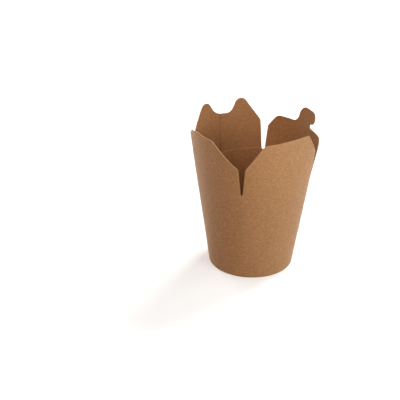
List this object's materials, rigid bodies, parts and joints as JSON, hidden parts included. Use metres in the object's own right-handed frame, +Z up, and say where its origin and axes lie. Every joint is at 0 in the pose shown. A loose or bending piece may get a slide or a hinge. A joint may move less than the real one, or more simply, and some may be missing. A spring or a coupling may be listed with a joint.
{
  "type": "noodle takeaway box",
  "caption": "Empty noodle takeaway box of folded brown board: round foot, flared wall, soft square rim, and closing flaps on creases, one notched and one with a hooked tab.",
  "frame": {"origin": "centre of the ring that the box stands on", "axes": "+Z up; the plain flap faces -Y, the notched flap with the seam +Y, the narrow flap -X and the hooked flap +X"},
  "size_m": [0.124, 0.1169, 0.1595],
  "materials": {
    "board": "uncoated brown kraft board, matt",
    "base_board": "uncoated brown kraft board, matt"
  },
  "bodies": {
    "cup": {"wall": "board", "base": "base_board"},
    "plain_flap": {"flap_plain": "board"},
    "notched_flap": {"flap_notched": "board"},
    "narrow_flap": {"flap_narrow": "board"},
    "hooked_flap": {"flap_hooked": "board"}
  },
  "joints": [
    {"name": "plain_fold", "type": "hinge", "parent": "cup", "child": "plain_flap", "pos_m": [0, -0.04116, 0.101], "axis": [-1, 0, 0], "range_deg": [0, 97]},
    {"name": "notched_fold", "type": "hinge", "parent": "cup", "child": "notched_flap", "pos_m": [0, 0.04116, 0.101], "axis": [1, 0, 0], "range_deg": [0, 91]},
    {"name": "narrow_fold", "type": "hinge", "parent": "cup", "child": "narrow_flap", "pos_m": [-0.04116, 0, 0.101], "axis": [0, 1, 0], "range_deg": [0, 56]},
    {"name": "hooked_fold", "type": "hinge", "parent": "cup", "child": "hooked_flap", "pos_m": [0.04116, 0, 0.101], "axis": [0, -1, 0], "range_deg": [0, 56]}
  ]
}
